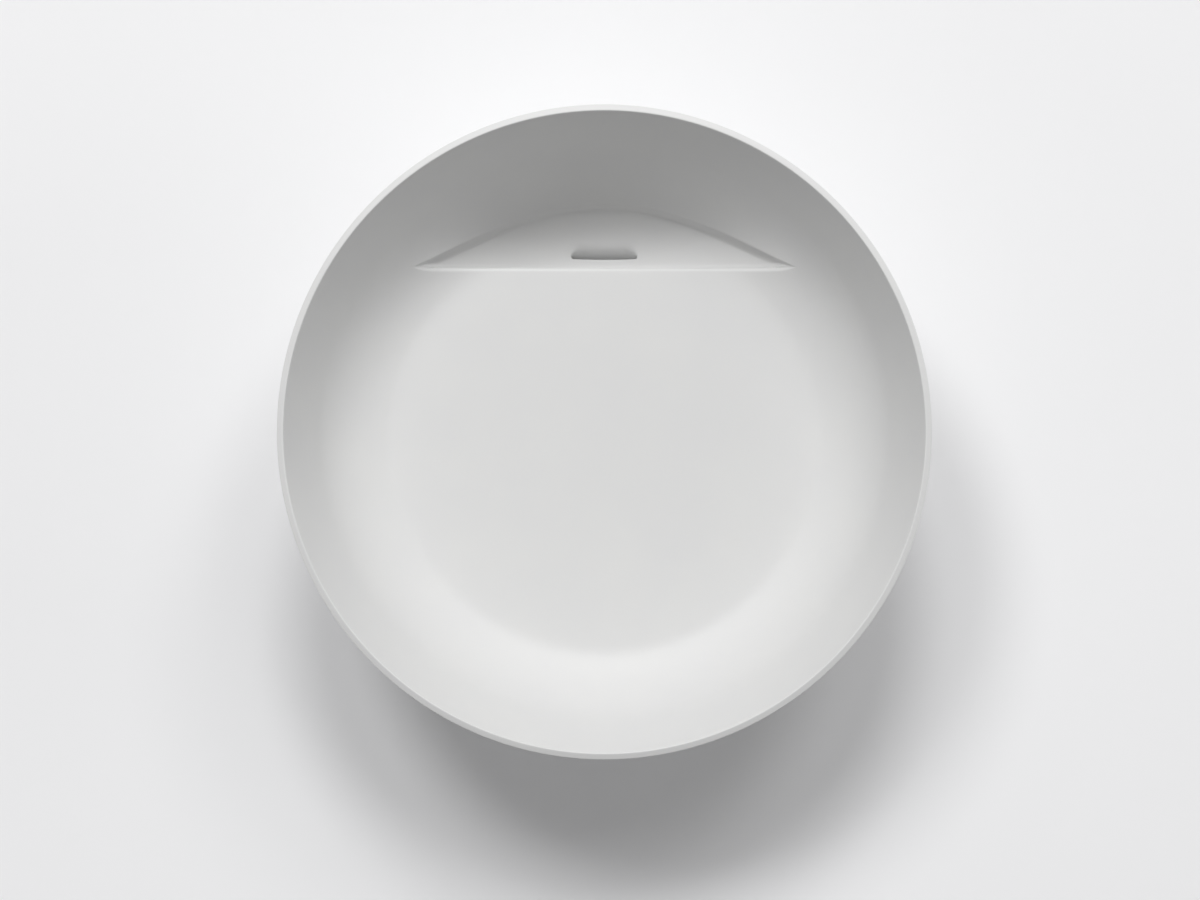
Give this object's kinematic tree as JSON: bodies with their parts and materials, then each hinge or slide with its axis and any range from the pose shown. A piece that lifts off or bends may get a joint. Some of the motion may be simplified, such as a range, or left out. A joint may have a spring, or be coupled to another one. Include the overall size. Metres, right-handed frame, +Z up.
{
  "type": "countertop basin",
  "caption": "Round white countertop bowl with a thin rim, a flat floor ending in a straight lip, and a crescent scoop behind it whose slot drains to a hidden waste.",
  "frame": {"origin": "centre of the foot seal's underside, on the worktop", "axes": "+Z up out of the bowl, +Y towards the slot at the back, +X to the right of someone who stands in front"},
  "size_m": [0.4, 0.3998, 0.15],
  "materials": {
    "cast_white": "matte",
    "grey_rubber": "matte",
    "black_rubber": "matte",
    "brass": "satin",
    "grey_plastic": "satin",
    "stainless": "satin"
  },
  "bodies": {
    "root": {"basin_bowl": "cast_white", "foot_seal": "grey_rubber", "fixing_inserts": "brass", "cup_inserts": "brass", "cup_gasket": "black_rubber", "waste_cup": "grey_plastic", "cup_washers": "stainless", "cup_screws": "stainless", "outlet_ring": "brass", "outlet_washer": "black_rubber"}
  },
  "joints": []
}
